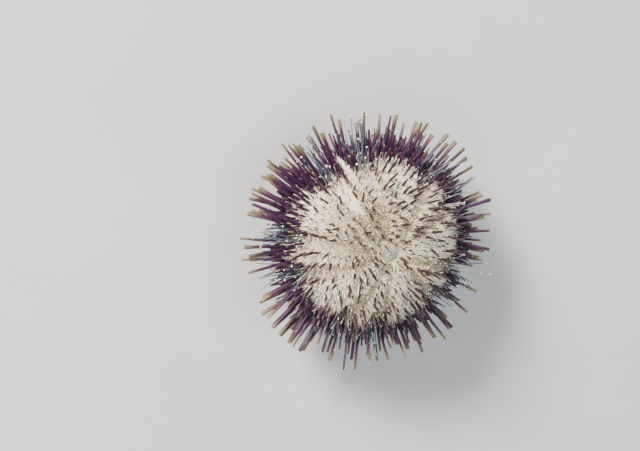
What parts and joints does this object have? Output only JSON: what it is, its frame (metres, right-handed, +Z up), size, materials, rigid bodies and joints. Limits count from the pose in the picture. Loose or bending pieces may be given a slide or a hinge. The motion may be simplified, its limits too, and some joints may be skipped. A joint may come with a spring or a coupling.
{
  "type": "purple-spined white sea urchin",
  "caption": "Life-size still model of a round white sea urchin with purple, tan-tipped spines, standing on its short underside spines.",
  "frame": {"origin": "on the floor under the middle of the spines' spread, where the model stands on the flat tips of its underside spines", "axes": "+Z up along the animal's five-fold axis, from the mouth to the apical disc; +Y through the middle of ambulacrum_1"},
  "size_m": [0.0922, 0.0936, 0.0495],
  "materials": {
    "shell_and_spines": "cream-white living shell coat of fine pale spines, beige skin between",
    "purple_spine": "satin purple spine, dark maroon at the root, khaki tan at its flat tip",
    "tube_foot": "wet translucent blue-grey tube foot with a white sucker",
    "membrane": "wet wrinkled pinkish-brown skin of the mouth and the vent",
    "tooth": "hard ivory-white tooth"
  },
  "bodies": {
    "root": {"ambulacrum_1": "shell_and_spines", "ambulacrum_2": "shell_and_spines", "ambulacrum_3": "shell_and_spines", "ambulacrum_4": "shell_and_spines", "ambulacrum_5": "shell_and_spines", "interambulacrum_1": "shell_and_spines", "interambulacrum_2": "shell_and_spines", "interambulacrum_3": "shell_and_spines", "interambulacrum_4": "shell_and_spines", "interambulacrum_5": "shell_and_spines", "apical_disc": "shell_and_spines", "peristome": "membrane", "periproct": "membrane", "tooth_1": "tooth", "tooth_2": "tooth", "tooth_3": "tooth", "tooth_4": "tooth", "tooth_5": "tooth"}
  },
  "joints": []
}
